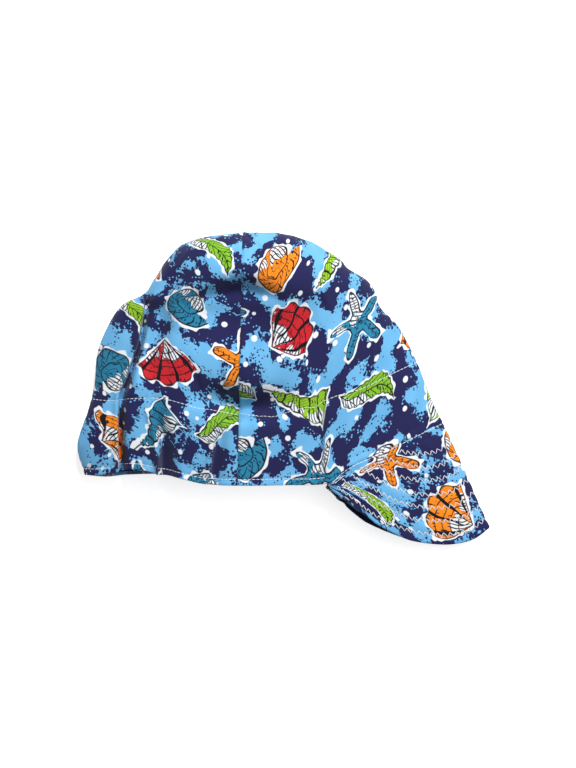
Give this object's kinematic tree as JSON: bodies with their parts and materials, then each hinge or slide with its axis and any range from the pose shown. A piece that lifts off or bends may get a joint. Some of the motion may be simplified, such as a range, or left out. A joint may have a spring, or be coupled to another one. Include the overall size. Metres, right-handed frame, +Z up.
{
  "type": "welding cap",
  "caption": "Soft welder's cap of sewn cotton panels with a sweatband and a short quilted peak, lying on its side with the peak folded.",
  "frame": {"origin": "on the resting plane, under the middle of the whole cap as it lies", "axes": "+Z up from the resting plane, +X towards the cap's front, +Y towards the crown's top"},
  "size_m": [0.2866, 0.2146, 0.0468],
  "materials": {
    "crown_cotton": "printed plain-weave cotton, matt",
    "band_cotton": "back of the printed cotton, matt",
    "peak_cotton": "printed cotton quilted with white thread, matt"
  },
  "bodies": {
    "root": {"crown_back_right": "crown_cotton", "crown_front_right": "crown_cotton", "crown_back_left": "crown_cotton", "crown_front_left": "crown_cotton", "sweatband": "band_cotton", "peak": "peak_cotton"}
  },
  "joints": []
}
